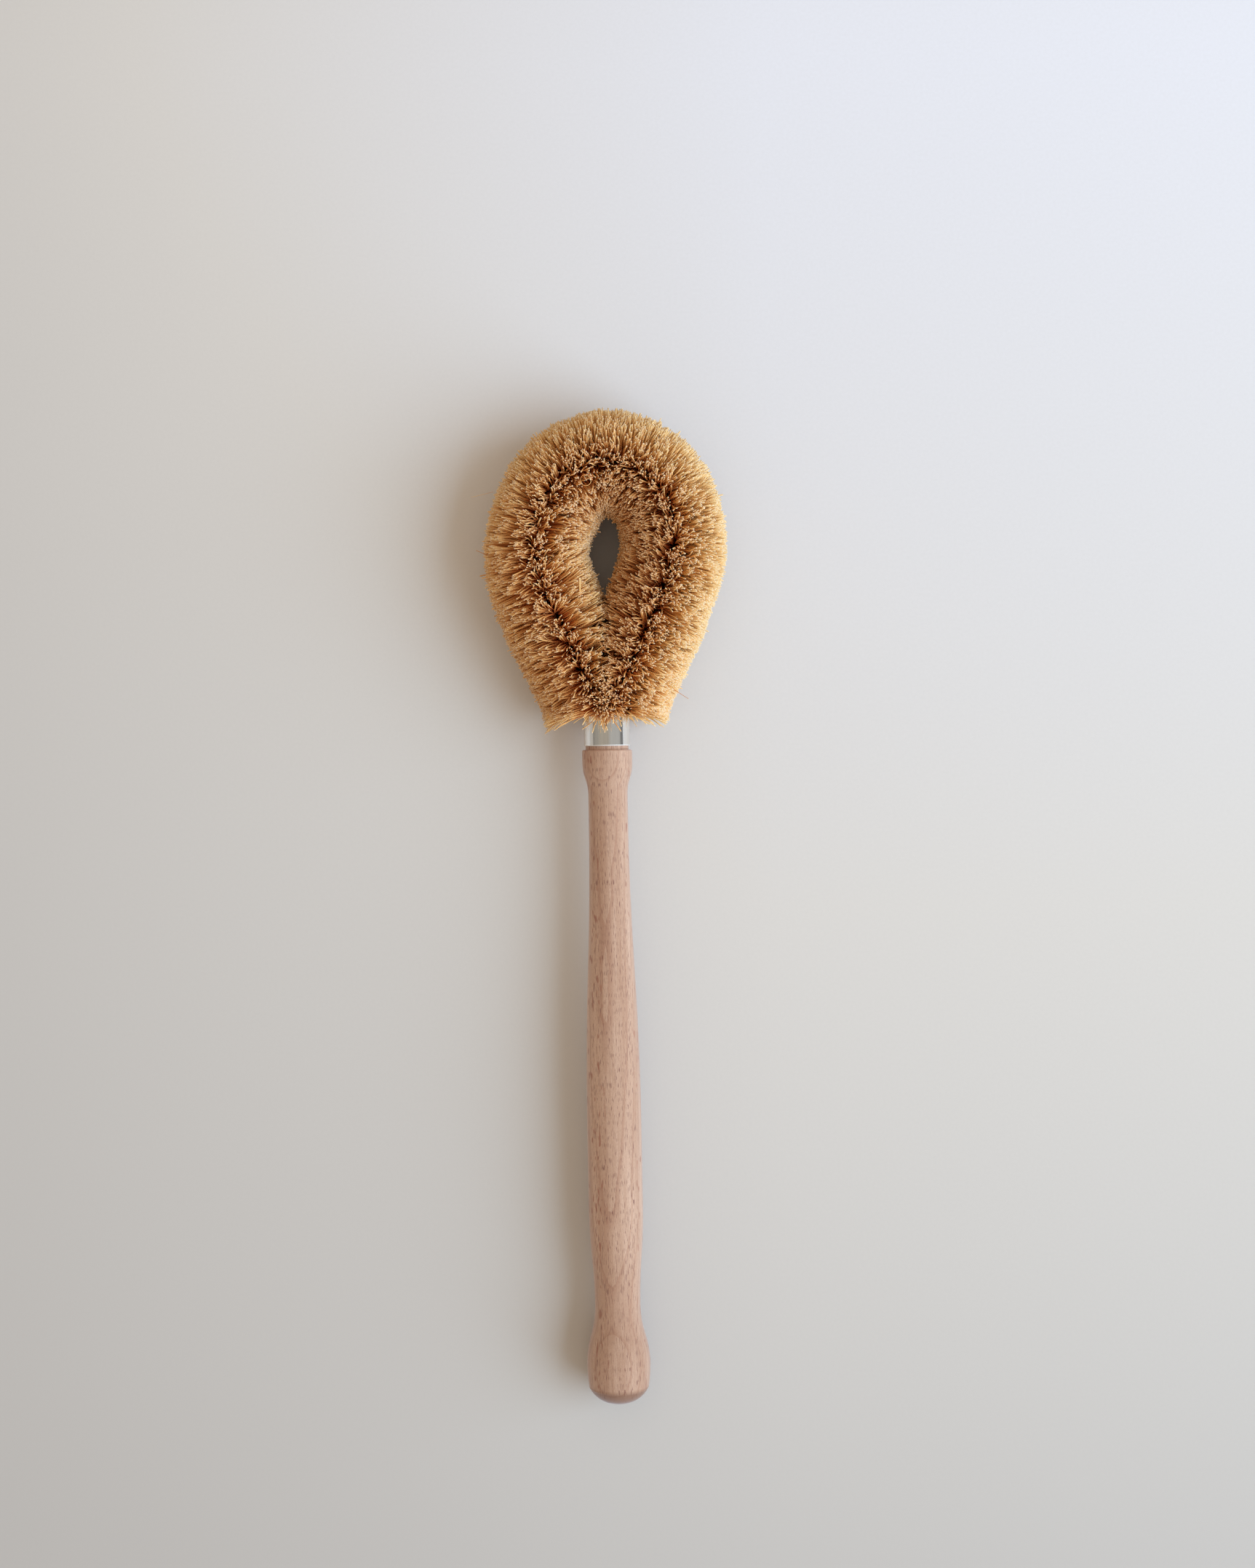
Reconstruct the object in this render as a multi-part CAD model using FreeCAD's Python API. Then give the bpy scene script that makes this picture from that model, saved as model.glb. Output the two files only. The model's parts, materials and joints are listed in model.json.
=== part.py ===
import FreeCAD, Part

import math
import os
from FreeCAD import Placement, Rotation, Vector

# Coconut fibre dish brush. Two steel wires are twisted together with coconut fibres clamped between
# them. The twisted core is bent into a teardrop loop, and both of its ends go through a steel ferrule
# into a drilled hole in a turned beech handle.
#
# Everything is in millimetres. The brush is first built along its own axis: x to the right, y from
# the butt end towards the head, z up, with the axis of the handle at x = 0 and z = 0. It is then laid
# down as it rests, on its knob and on the underside of its bristles.

# Turned beech handle, measured along the axis from the butt end
HANDLE_LENGTH = 228.5
BUTT_FLAT_RADIUS = 4.4
BUTT_BULGE_RADIUS = 8.1
BUTT_BULGE_PLACE = 2.1
BUTT_EDGE_RADIUS = 10.45
BUTT_EDGE_PLACE = 5.2
KNOB_RADIUS = 11.1
KNOB_PLACE = 13.0
WAIST_RADIUS = 7.95
WAIST_PLACE = 34.0
BELLY_RADIUS = 9.5
BELLY_PLACE = 68.0
BELLY_LENGTH = 30.0

# Neck and collar of the handle, measured back from its shoulder
NECK_RADIUS = 6.85
NECK_LENGTH = 7.0
FLARE_LENGTH = 10.8
COLLAR_RADIUS = 8.72
COLLAR_LENGTH = 4.7
SHOULDER_BEVEL = 0.35

# Drawn steel ferrule, with its upper rim turned in
FERRULE_RADIUS = 7.95
FERRULE_WALL = 0.45
FERRULE_LENGTH = 11.4
FERRULE_RIM_BEND = 1.1
FERRULE_MOUTH_RADIUS = 5.6
BARE_TENON = 1.4
PRESS_CLEARANCE = 0.03

# Twisted wire core and the loop that its centre line makes
WIRE_RADIUS = 0.9
PINCHED_FIBRE = 0.1
TWIST_PITCH = 14.0
WIRE_DEPTH = 24.0
DRILL_SPARE_DEPTH = 1.5
DRILL_POINT_ANGLE = 118.0
DRILL_CLEARANCE = 0.15
LEG_GAP = 1.3
LEG_BEND_RADIUS = 20.0
LOOP_REACH = 89.3
LOOP_SIDE_RADIUS = 34.0
LOOP_TOP_RADIUS = 24.0
LOOP_TOP_TURN = 62.0

# Coconut fibre, trimmed to a round tube that follows the wire
FIBRE_LENGTH = 18.5
FIBRE_FOOT_GAP = 0.6
TUFT_DEPTH = 2.7
FURROW_DEPTH = 0.9
TUFTS_ROUND = 16
TUFT_ROW_SPACING = 2.5
TUFT_ROW_TWIST = 3.8
TOP_CROWDING = 1.7
LEG_CROWDING = -0.6
CHANNEL_CLEARANCE = 0.25

# How the brush lies: the wire at the widest place of the loop is this high above the surface
REST_HEIGHT = 17.4

# How finely the wires and the channel are faceted
WIRE_SIDES = 6
WIRE_STEPS_PER_TURN = 7
CHANNEL_SIDES = 6

UP = Vector(0, 0, 1)

# Places that follow from the sizes above
shoulder = HANDLE_LENGTH
collar_start = shoulder - COLLAR_LENGTH
neck_end = collar_start - FLARE_LENGTH
neck_start = neck_end - NECK_LENGTH
belly_end = BELLY_PLACE + BELLY_LENGTH
ferrule_start = shoulder + BARE_TENON
ferrule_end = ferrule_start + FERRULE_LENGTH
tenon_radius = FERRULE_RADIUS - FERRULE_WALL - PRESS_CLEARANCE
tenon_end = ferrule_end - FERRULE_WALL - PRESS_CLEARANCE
strand_offset = WIRE_RADIUS + PINCHED_FIBRE / 2
core_radius = strand_offset + WIRE_RADIUS
leg_offset = core_radius + LEG_GAP / 2
drill_radius = leg_offset + core_radius + DRILL_CLEARANCE
loop_top = tenon_end + LOOP_REACH


def line(start, end):
    (y0, r0), (y1, r1) = start, end
    return Part.makeLine(Vector(r0, y0, 0), Vector(r1, y1, 0))


def arc(start, middle, end):
    points = [Vector(radius, y, 0) for y, radius in (start, middle, end)]
    return Part.Arc(*points).toShape()


def swell(start, end):
    """A flowing turned outline between two places where it runs along the axis: two equal arcs."""
    (y0, r0), (y1, r1) = start, end
    middle = ((y0 + y1) / 2, (r0 + r1) / 2)
    turn = math.atan2(r1 - r0, y1 - y0)
    radius = math.hypot(r1 - r0, y1 - y0) / (4 * math.sin(turn))
    run = radius * math.sin(turn)
    rise = radius * (1 - math.cos(turn))
    return [arc(start, (y0 + run, r0 + rise), middle), arc(middle, (y1 - run, r1 - rise), end)]


def turned(edges):
    """Turns a closed outline, given as edges beside the axis, about the axis."""
    face = Part.Face(Part.Wire(Part.sortEdges(edges)[0]))
    return face.revolve(Vector(0, 0, 0), Vector(0, 1, 0), 360)


def make_handle():
    """One piece of beech: knob, waist, belly, neck, collar and tenon, drilled for the wire ends."""
    bulge = (BUTT_BULGE_PLACE, BUTT_BULGE_RADIUS)
    butt_edge = (BUTT_EDGE_PLACE, BUTT_EDGE_RADIUS)
    knob = (KNOB_PLACE, KNOB_RADIUS)
    waist = (WAIST_PLACE, WAIST_RADIUS)
    bevel = SHOULDER_BEVEL
    tenon_bevel = FERRULE_RIM_BEND - FERRULE_WALL
    drill_end = tenon_end - WIRE_DEPTH - DRILL_SPARE_DEPTH
    drill_tip = drill_end - drill_radius / math.tan(math.radians(DRILL_POINT_ANGLE / 2))

    knob_end = Part.BezierCurve()
    knob_end.setPoles([
        Vector(BUTT_EDGE_RADIUS, BUTT_EDGE_PLACE, 0),
        Vector(KNOB_RADIUS, (BUTT_EDGE_PLACE + KNOB_PLACE) / 2, 0),
        Vector(KNOB_RADIUS, KNOB_PLACE, 0),
    ])
    return turned([
        line((0, 0), (0, BUTT_FLAT_RADIUS)),
        arc((0, BUTT_FLAT_RADIUS), bulge, butt_edge),
        knob_end.toShape(),
        *swell(knob, waist),
        *swell(waist, (BELLY_PLACE, BELLY_RADIUS)),
        line((BELLY_PLACE, BELLY_RADIUS), (belly_end, BELLY_RADIUS)),
        *swell((belly_end, BELLY_RADIUS), (neck_start, NECK_RADIUS)),
        line((neck_start, NECK_RADIUS), (neck_end, NECK_RADIUS)),
        *swell((neck_end, NECK_RADIUS), (collar_start, COLLAR_RADIUS)),
        line((collar_start, COLLAR_RADIUS), (shoulder - bevel, COLLAR_RADIUS)),
        line((shoulder - bevel, COLLAR_RADIUS), (shoulder, COLLAR_RADIUS - bevel)),
        line((shoulder, COLLAR_RADIUS - bevel), (shoulder, tenon_radius)),
        line((shoulder, tenon_radius), (tenon_end - tenon_bevel, tenon_radius)),
        line((tenon_end - tenon_bevel, tenon_radius), (tenon_end, tenon_radius - tenon_bevel)),
        line((tenon_end, tenon_radius - tenon_bevel), (tenon_end, drill_radius)),
        line((tenon_end, drill_radius), (drill_end, drill_radius)),
        line((drill_end, drill_radius), (drill_tip, 0)),
        line((drill_tip, 0), (0, 0)),
    ])


def make_ferrule():
    """A thin steel tube whose upper rim is turned in over the end of the tenon."""
    outside = FERRULE_RADIUS
    inside = FERRULE_RADIUS - FERRULE_WALL
    lip_under = ferrule_end - FERRULE_WALL
    bend_place = ferrule_end - FERRULE_RIM_BEND
    bend_centre = outside - FERRULE_RIM_BEND
    slant = FERRULE_RIM_BEND * math.sqrt(0.5)
    return turned([
        line((ferrule_start, inside), (ferrule_start, outside)),
        line((ferrule_start, outside), (bend_place, outside)),
        arc((bend_place, outside), (bend_place + slant, bend_centre + slant), (ferrule_end, bend_centre)),
        line((ferrule_end, bend_centre), (ferrule_end, FERRULE_MOUTH_RADIUS)),
        line((ferrule_end, FERRULE_MOUTH_RADIUS), (lip_under, FERRULE_MOUTH_RADIUS)),
        line((lip_under, FERRULE_MOUTH_RADIUS), (lip_under, bend_centre)),
        line((lip_under, bend_centre), (bend_place, inside)),
        line((bend_place, inside), (ferrule_start, inside)),
    ])


def half_loop():
    """Where the loop is widest, and the stretches of its right half, from the wire's end to the top.

    Each stretch is its length and how far it turns to the right, in radians. The slope of the legs is
    the one at which a straight leg is tangent to both its bend at the handle and the side of the loop.
    """
    top_turn = math.radians(LOOP_TOP_TURN)
    shrink = LOOP_SIDE_RADIUS - LOOP_TOP_RADIUS
    side_x = -shrink * math.sin(top_turn)
    side_y = loop_top - LOOP_TOP_RADIUS - shrink * math.cos(top_turn)
    across = leg_offset + LEG_BEND_RADIUS - side_x
    along = side_y - tenon_end
    apart = math.hypot(across, along)
    radii = LEG_BEND_RADIUS + LOOP_SIDE_RADIUS
    slope = math.atan2(along, across) - math.acos(radii / apart)
    side_turn = slope + math.pi / 2 - top_turn
    return side_y, [
        (WIRE_DEPTH, 0),
        (LEG_BEND_RADIUS * slope, slope),
        (math.sqrt(apart ** 2 - radii ** 2), 0),
        (LOOP_SIDE_RADIUS * side_turn, -side_turn),
        (LOOP_TOP_RADIUS * top_turn, -top_turn),
    ]


loop_side, stretches = half_loop()
half_length = sum(length for length, turn in stretches)
crowding_start = sum(length for length, turn in stretches[:3])


def core_frame(distance):
    """Place, direction and outward side of the core, this far along it from the right-hand end."""
    mirrored = distance > half_length
    left = 2 * half_length - distance if mirrored else distance
    x = leg_offset
    y = tenon_end - WIRE_DEPTH
    heading = 0.0
    for length, turn in stretches:
        step = min(left, length)
        turned_by = turn * step / length
        chord = step if turn == 0 else 2 * length / turn * math.sin(turned_by / 2)
        x += chord * math.sin(heading + turned_by / 2)
        y += chord * math.cos(heading + turned_by / 2)
        heading += turned_by
        left -= step
    flip = -1 if mirrored else 1
    place = Vector(flip * x, y, 0)
    direction = Vector(math.sin(heading), flip * math.cos(heading), 0)
    outward = Vector(flip * math.cos(heading), -math.sin(heading), 0)
    return place, direction, outward


def solid_of(points, triangles):
    shape = Part.Shape()
    shape.makeShapeFromMesh((points, triangles), 0.0001)
    return Part.makeSolid(shape)


def tube_triangles(rows, sides, start=0):
    """Triangles round a tube of rows of points. Every other quad is split along its other diagonal."""
    triangles = []
    for row in range(rows - 1):
        for side in range(sides):
            a = start + row * sides + side
            b = start + row * sides + (side + 1) % sides
            c, d = b + sides, a + sides
            even = (row + side) % 2 == 0
            triangles += [(a, b, d), (b, c, d)] if even else [(a, b, c), (a, c, d)]
    return triangles


def make_strand(phase):
    """One of the two wires, which winds round the centre line of the core."""
    turns = 2 * half_length / TWIST_PITCH
    rows = round(turns * WIRE_STEPS_PER_TURN) + 1
    winding = 2 * math.pi / TWIST_PITCH
    points = []
    for row in range(rows):
        distance = 2 * half_length * row / (rows - 1)
        place, direction, outward = core_frame(distance)
        angle = winding * distance + phase
        aside = outward * math.cos(angle) + UP * math.sin(angle)
        sideways = UP * math.cos(angle) - outward * math.sin(angle)
        ahead = direction + sideways * (winding * strand_offset)
        ahead.normalize()
        across = ahead.cross(aside)
        centre = place + aside * strand_offset
        for side in range(WIRE_SIDES):
            turn = 2 * math.pi * side / WIRE_SIDES
            rim = aside * math.cos(turn) + across * math.sin(turn)
            points.append(centre + rim * WIRE_RADIUS)
    triangles = tube_triangles(rows, WIRE_SIDES)
    last = (rows - 1) * WIRE_SIDES
    for side in range(1, WIRE_SIDES - 1):
        triangles.append((0, side + 1, side))
        triangles.append((last, last + side, last + side + 1))
    return solid_of(points, triangles)


def smooth(share):
    share = min(max(share, 0), 1)
    return share * share * (3 - 2 * share)


def fibre_reach(row, column, angle, distance):
    """Length of the fibre here. Tufts stand in a chequer, parted by furrows that wind as the wires do."""
    if (row + column) % 2 == 0:
        return FIBRE_LENGTH
    furrow = math.cos(2 * (angle - 2 * math.pi * distance / TWIST_PITCH))
    return FIBRE_LENGTH - TUFT_DEPTH - FURROW_DEPTH * furrow


def end_triangles(outer, columns, inner, facing_back):
    """Triangles from the tufts of an end row to the corners of the channel nearest to them."""
    triangles = []
    for column in range(columns):
        following = (column + 1) % columns
        corner = column * CHANNEL_SIDES // columns
        next_corner = following * CHANNEL_SIDES // columns
        triangles.append((outer + column, outer + following, inner + corner))
        if next_corner != corner:
            triangles.append((outer + following, inner + next_corner, inner + corner))
    return turned_over(triangles) if facing_back else triangles


def turned_over(triangles):
    return [(a, c, b) for a, b, c in triangles]


def make_half_tube(floor_normal, floor_level):
    """The fibre on the right half of the loop: a tube of pointed tufts round a channel for the wire."""
    columns = 2 * round(TUFTS_ROUND)
    foot = WIRE_DEPTH + ferrule_end - tenon_end + FIBRE_FOOT_GAP
    rows = round((half_length - foot) / TUFT_ROW_SPACING) + 1
    points = []
    for row in range(rows):
        distance = foot + (half_length - foot) * row / (rows - 1)
        place, direction, outward = core_frame(distance)
        share = smooth((distance - crowding_start) / (half_length - crowding_start))
        centre = place - outward * (LEG_CROWDING + (TOP_CROWDING - LEG_CROWDING) * share)
        for column in range(columns):
            angle = 2 * math.pi * column / columns + math.radians(TUFT_ROW_TWIST) * row
            radial = outward * math.cos(angle) + UP * math.sin(angle)
            point = centre + radial * fibre_reach(row, column, angle, distance)
            sunk = floor_level - point.dot(floor_normal)
            points.append(point + UP * (max(sunk, 0) / floor_normal.z))

    channel = len(points)
    channel_rows = (rows + 1) // 2
    channel_radius = (core_radius + CHANNEL_CLEARANCE) / math.cos(math.pi / CHANNEL_SIDES)
    for row in range(channel_rows):
        distance = foot + (half_length - foot) * row / (channel_rows - 1)
        place, direction, outward = core_frame(distance)
        for side in range(CHANNEL_SIDES):
            angle = 2 * math.pi * (side + 0.5) / CHANNEL_SIDES
            points.append(place + (outward * math.cos(angle) + UP * math.sin(angle)) * channel_radius)

    last_row = (rows - 1) * columns
    last_channel_row = channel + (channel_rows - 1) * CHANNEL_SIDES
    triangles = tube_triangles(rows, columns)
    triangles += turned_over(tube_triangles(channel_rows, CHANNEL_SIDES, channel))
    triangles += end_triangles(0, columns, channel, True)
    triangles += end_triangles(last_row, columns, last_channel_row, False)
    return solid_of(points, triangles)


def make_bristles(floor_normal, floor_level):
    """The whole brush of fibre. Below the gap of the loop the two legs press against each other, so
    each half ends at the plane between them, and the left half is the mirror image of the right."""
    half = make_half_tube(floor_normal, floor_level)
    reach = 2 * FIBRE_LENGTH
    past_middle = Part.makeBox(reach, loop_side - ferrule_start, 2 * reach, Vector(-reach, ferrule_start, -reach))
    right = half.cut(past_middle)
    left = right.mirror(Vector(0, 0, 0), Vector(1, 0, 0))
    return right.fuse(left).Solids[0]


# The brush rests on its knob and on the underside of its bristles, with the head a little higher
level_run = loop_side - KNOB_PLACE
tilt = math.asin(REST_HEIGHT / math.hypot(level_run, KNOB_RADIUS)) - math.atan2(KNOB_RADIUS, level_run)
lying_down = Placement(Vector(0, 0, 0), Rotation(Vector(1, 0, 0), math.degrees(tilt)))

handle = make_handle()
axis_height = -handle.transformed(lying_down.toMatrix()).optimalBoundingBox().ZMin
floor_normal = Vector(0, math.sin(tilt), math.cos(tilt))

parts = {
    "handle": handle,
    "ferrule": make_ferrule(),
    "wire_strand_a": make_strand(0),
    "wire_strand_b": make_strand(math.pi),
    "coir_bristles": make_bristles(floor_normal, -axis_height),
}

# The origin is on the surface, under the middle of the brush
tilted = Part.makeCompound([shape.transformed(lying_down.toMatrix()) for shape in parts.values()])
box = tilted.optimalBoundingBox()
lying_down.Base = Vector(0, -(box.YMin + box.YMax) / 2, axis_height)

os.makedirs("parts", exist_ok=True)
for name, shape in parts.items():
    placed = shape.transformed(lying_down.toMatrix())
    placed.exportStep(f"parts/{name}.step")
    print(f"{name}: {len(placed.Solids)} solid, {placed.Volume / 1000:.2f} cm3")
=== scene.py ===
# %% [markdown]
# # A coconut fibre dish brush
# This brush is used for pots and dishes. Two steel wires are twisted together with coconut fibres
# pinched between them, as in a bottle brush. The twisted core is bent into a drop-shaped loop, and
# both of its ends go through a steel ferrule into a turned beech handle.
# The handle, the ferrule and the wires come from the CAD model, which is loaded here as a fixed
# frame. The fibres are modelled in this script, one by one, because the eye sees each of them.

import json
import math

import bmesh
import bpy
import numpy as np
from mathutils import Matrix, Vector, kdtree, noise


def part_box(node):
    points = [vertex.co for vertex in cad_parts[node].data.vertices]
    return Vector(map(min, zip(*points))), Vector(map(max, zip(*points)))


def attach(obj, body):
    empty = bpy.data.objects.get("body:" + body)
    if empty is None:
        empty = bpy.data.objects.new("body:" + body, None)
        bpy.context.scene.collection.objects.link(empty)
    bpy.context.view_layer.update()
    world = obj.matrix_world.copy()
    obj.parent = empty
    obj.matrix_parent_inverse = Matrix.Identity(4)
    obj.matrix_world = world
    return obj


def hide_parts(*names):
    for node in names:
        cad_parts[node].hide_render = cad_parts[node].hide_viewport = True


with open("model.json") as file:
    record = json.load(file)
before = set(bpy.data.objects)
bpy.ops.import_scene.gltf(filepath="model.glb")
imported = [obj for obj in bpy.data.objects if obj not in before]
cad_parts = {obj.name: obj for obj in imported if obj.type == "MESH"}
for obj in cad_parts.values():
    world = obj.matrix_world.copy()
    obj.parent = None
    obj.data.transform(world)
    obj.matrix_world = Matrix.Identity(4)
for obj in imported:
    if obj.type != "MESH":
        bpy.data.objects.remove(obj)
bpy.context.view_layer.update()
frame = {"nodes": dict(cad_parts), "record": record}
MM = 0.001
print("nodes of the frame:", sorted(frame["nodes"]))

# %% [markdown]
# ## The brush's own axes
# The brush lies on a table, on its knob and on the underside of its fibres, so its axis rises a
# little towards the head. All sizes along the brush are easiest to give from the butt end of the
# handle. The record of the CAD model states the flat of the butt as a mount: its place is the start
# of the axis, and its direction points out of the handle, so the axis of the brush is its opposite.

# %% Find the brush's own axes
butt_mount = next(mount for mount in frame["record"]["mounts"] if mount["name"] == "butt_face")
BUTT = np.array(butt_mount["pos_m"])
ALONG = -np.array(butt_mount["axis"])
ACROSS = np.array([1.0, 0.0, 0.0])
UP = np.cross(ACROSS, ALONG)
print("rise of the axis:", round(math.degrees(math.asin(ALONG[2])), 2), "degrees")


def to_world(points):
    """Turns points given as across, along, up from the butt into places in the scene."""
    return BUTT + points[..., :1] * ACROSS + points[..., 1:2] * ALONG + points[..., 2:] * UP


# %% [markdown]
# ## The camera
# The photograph was taken from straight above, with the brush turned by about one degree in the
# picture. A camera that looks straight down is a camera with no rotation at all, so only the small
# turn about Z is needed. The size of the picture at the height of the brush gives the camera's
# height: a longer lens further away would flatten the fibres, a shorter one would lean them outwards.

# %% Make the camera
LENS = 50.0
SENSOR = 36.0
PICTURE_HEIGHT = 546 * MM
PICTURE_LEVEL = 17 * MM
PICTURE_CENTRE = (6.9 * MM, 43.0 * MM)
PICTURE_TURN = math.radians(-1.09)

camera_data = bpy.data.cameras.new("camera")
camera_data.lens = LENS
camera_data.sensor_width = SENSOR
camera = bpy.data.objects.new("camera", camera_data)
camera.location = (*PICTURE_CENTRE, PICTURE_LEVEL + PICTURE_HEIGHT * LENS / SENSOR)
camera.rotation_euler = (0, 0, PICTURE_TURN)
bpy.context.scene.collection.objects.link(camera)
bpy.context.scene.camera = camera
print("camera height:", round(camera.location.z, 3), "m")

# %% [markdown]
# ## The window
# The brush is lit by a broad, soft window on the right, slightly nearer to the handle than to the
# head. The direction and the softness of the shadows tell where it is and how wide: they fade out
# over a distance like the height of the head. A large square area light does the same. Its light is
# a little blue, because the light that comes back from the room, which fills the shadows, is warm,
# and the two together should be white. Shiny surfaces don't mirror it: what they mirror is the room.

# %% Make the window
LIGHT_DISTANCE = 2.4
LIGHT_AZIMUTH = math.radians(-14)
LIGHT_ELEVATION = math.radians(32)
LIGHT_SIZE = 2.6
LIGHT_POWER = 72.0
LIGHT_COLOUR = (0.78, 1.0, 1.22)

light_data = bpy.data.lights.new("window", "AREA")
light_data.shape = "SQUARE"
light_data.size = LIGHT_SIZE
light_data.energy = LIGHT_POWER
light_data.color = LIGHT_COLOUR
light = bpy.data.objects.new("window", light_data)
light.visible_glossy = False
towards_light = Vector((
    math.cos(LIGHT_ELEVATION) * math.cos(LIGHT_AZIMUTH),
    math.cos(LIGHT_ELEVATION) * math.sin(LIGHT_AZIMUTH),
    math.sin(LIGHT_ELEVATION),
))
light.location = Vector((0, PICTURE_CENTRE[1], 0)) + towards_light * LIGHT_DISTANCE
light.rotation_euler = (-towards_light).to_track_quat("-Z", "Y").to_euler()
bpy.context.scene.collection.objects.link(light)
print("window at", [round(value, 2) for value in light.location])

# %% [markdown]
# ## Small helpers for node trees
# A material is a tree of nodes. `add` makes one node, sets its properties and either links or sets
# each input, so a tree can be written from its first node to its last like a sum.
# Colours are noted as they look on a screen and turned into the linear values that nodes take.
# A noise texture goes from 0 to 1, but nearly all of it lies in the range that is named here.

# %% Helpers for node trees
NOISE_RANGE = (0.3, 0.7)


def screen_colour(red, green, blue):
    """A colour given as 0 to 255 on a screen, as linear red, green, blue and alpha."""
    parts = [value / 255 for value in (red, green, blue)]
    linear = [part / 12.92 if part <= 0.04045 else ((part + 0.055) / 1.055) ** 2.4 for part in parts]
    return (*linear, 1.0)


def add(tree, kind, inputs=None, **settings):
    """Adds a node. Each input is a value, or the output socket of another node."""
    made = tree.nodes.new(kind)
    for name, value in settings.items():
        setattr(made, name, value)
    for name, value in (inputs or {}).items():
        if isinstance(value, bpy.types.NodeSocket):
            tree.links.new(value, made.inputs[name])
        else:
            made.inputs[name].default_value = value
    return made


def maths(tree, operation, first, second=0.0):
    """The result of one operation, such as ADD or MULTIPLY, on values or sockets."""
    return add(tree, "ShaderNodeMath", {0: first, 1: second}, operation=operation).outputs[0]


def mix(tree, share, first, second):
    """The first colour with this share of the second one in it."""
    made = add(tree, "ShaderNodeMix", data_type="RGBA")
    for index, value in ((0, share), (6, first), (7, second)):
        if isinstance(value, bpy.types.NodeSocket):
            tree.links.new(value, made.inputs[index])
        else:
            made.inputs[index].default_value = value
    return made.outputs[2]


def spread(tree, value, low, high, to_low=0.0, to_high=1.0):
    """Maps the range from low to high onto another range, and stays inside it."""
    inputs = {"Value": value, "From Min": low, "From Max": high, "To Min": to_low, "To Max": to_high}
    return add(tree, "ShaderNodeMapRange", inputs).outputs[0]


def ramp(tree, value, stops):
    """A colour that runs through the stops, given as place and colour."""
    made = add(tree, "ShaderNodeValToRGB", {"Fac": value})
    while len(made.color_ramp.elements) < len(stops):
        made.color_ramp.elements.new(1.0)
    for element, (place, colour) in zip(made.color_ramp.elements, stops):
        element.position = place
        element.color = colour
    return made.outputs["Color"]


def new_material(name):
    """A material with an empty tree, its Principled BSDF and its object coordinates."""
    material = bpy.data.materials.new(name)
    material.use_nodes = True
    tree = material.node_tree
    tree.nodes.clear()
    shader = add(tree, "ShaderNodeBsdfPrincipled")
    add(tree, "ShaderNodeOutputMaterial", {"Surface": shader.outputs[0]})
    place = add(tree, "ShaderNodeTexCoord").outputs["Object"]
    return material, tree, shader, place


def connect(tree, value, socket):
    """Lets a node's output drive the input of another one."""
    tree.links.new(value, socket)


# %% [markdown]
# ## The room
# The world stands for the room around the table. It has three looks, told apart by Light Path: a
# warm, even light that fills the shadows, a plain pale background for the camera, and for shiny
# surfaces a room with some darker and lighter walls, because bare steel shows nothing but what
# stands around it. The direction of a ray, seen from the left to the right, picks the wall.

# %% Make the room
FILL_COLOUR = (1.22, 1.0, 0.78)
FILL_STRENGTH = 0.5
BACKGROUND_COLOUR = (0.97, 0.98, 1.0)
BACKGROUND_STRENGTH = 0.8
WALLS = [
    (0.000, screen_colour(184, 177, 168)),
    (0.022, screen_colour(176, 169, 160)),
    (0.030, screen_colour(92, 85, 78)),
    (0.045, screen_colour(147, 141, 131)),
    (0.160, screen_colour(155, 148, 137)),
    (0.240, screen_colour(165, 156, 142)),
    (0.560, screen_colour(163, 154, 141)),
    (0.660, screen_colour(174, 171, 166)),
    (0.965, screen_colour(172, 170, 166)),
    (0.985, screen_colour(117, 115, 114)),
]

world = bpy.data.worlds.new("room")
world.use_nodes = True
bpy.context.scene.world = world
tree = world.node_tree
tree.nodes.clear()
rays = add(tree, "ShaderNodeLightPath")
towards = add(tree, "ShaderNodeTexCoord").outputs["Generated"]
rightward = add(tree, "ShaderNodeSeparateXYZ", {0: towards}).outputs["X"]
walls = ramp(tree, spread(tree, rightward, -1.0, 1.0), WALLS)
fill = add(tree, "ShaderNodeBackground", {"Color": (*FILL_COLOUR, 1), "Strength": FILL_STRENGTH})
mirrored = add(tree, "ShaderNodeBackground", {"Color": walls, "Strength": 1.0})
shown = add(tree, "ShaderNodeBackground", {"Color": (*BACKGROUND_COLOUR, 1), "Strength": BACKGROUND_STRENGTH})
light_or_wall = {0: rays.outputs["Is Glossy Ray"], 1: fill.outputs[0], 2: mirrored.outputs[0]}
unseen = add(tree, "ShaderNodeMixShader", light_or_wall)
seen_or_unseen = {0: rays.outputs["Is Camera Ray"], 1: unseen.outputs[0], 2: shown.outputs[0]}
whole = add(tree, "ShaderNodeMixShader", seen_or_unseen)
add(tree, "ShaderNodeOutputWorld", {"Surface": whole.outputs[0]})
bpy.context.scene.view_settings.view_transform = "Standard"
print("walls of the room:", len(WALLS))

# %% [markdown]
# ## The table
# The brush lies on a plain pale table. The table is no part of the brush.
# Its colour carries painted light and shade. It is painted greyer at the foot of the picture and
# on the left, as painted shade, and cooler and paler towards the far right corner, as painted light
# from the window. More lamps could do that too, but they would also light the brush unevenly. So each
# direction gets a gradient, the two are multiplied into one painted light mask, and the mask runs
# through three colours.

# %% Make the table
TABLE_SIZE = 3.0
# Colours of the painted light on the table: lit far corner, middle, shaded foot (also the speckles).
TABLE_FAR = screen_colour(232, 235, 244)
TABLE_MIDDLE = screen_colour(219, 217, 214)
TABLE_NEAR = screen_colour(182, 180, 178)
TABLE_FOOT = -0.34
TABLE_HEAD = 0.30
TABLE_LEFT = -0.22
TABLE_RIGHT = 0.06
TABLE_CURVE = 0.8
TABLE_LEFT_SHARE = 0.50
TABLE_TURN = 0.60
SPECKLE_SCALE = 900.0
SPECKLE_SHARE = 0.05

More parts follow.
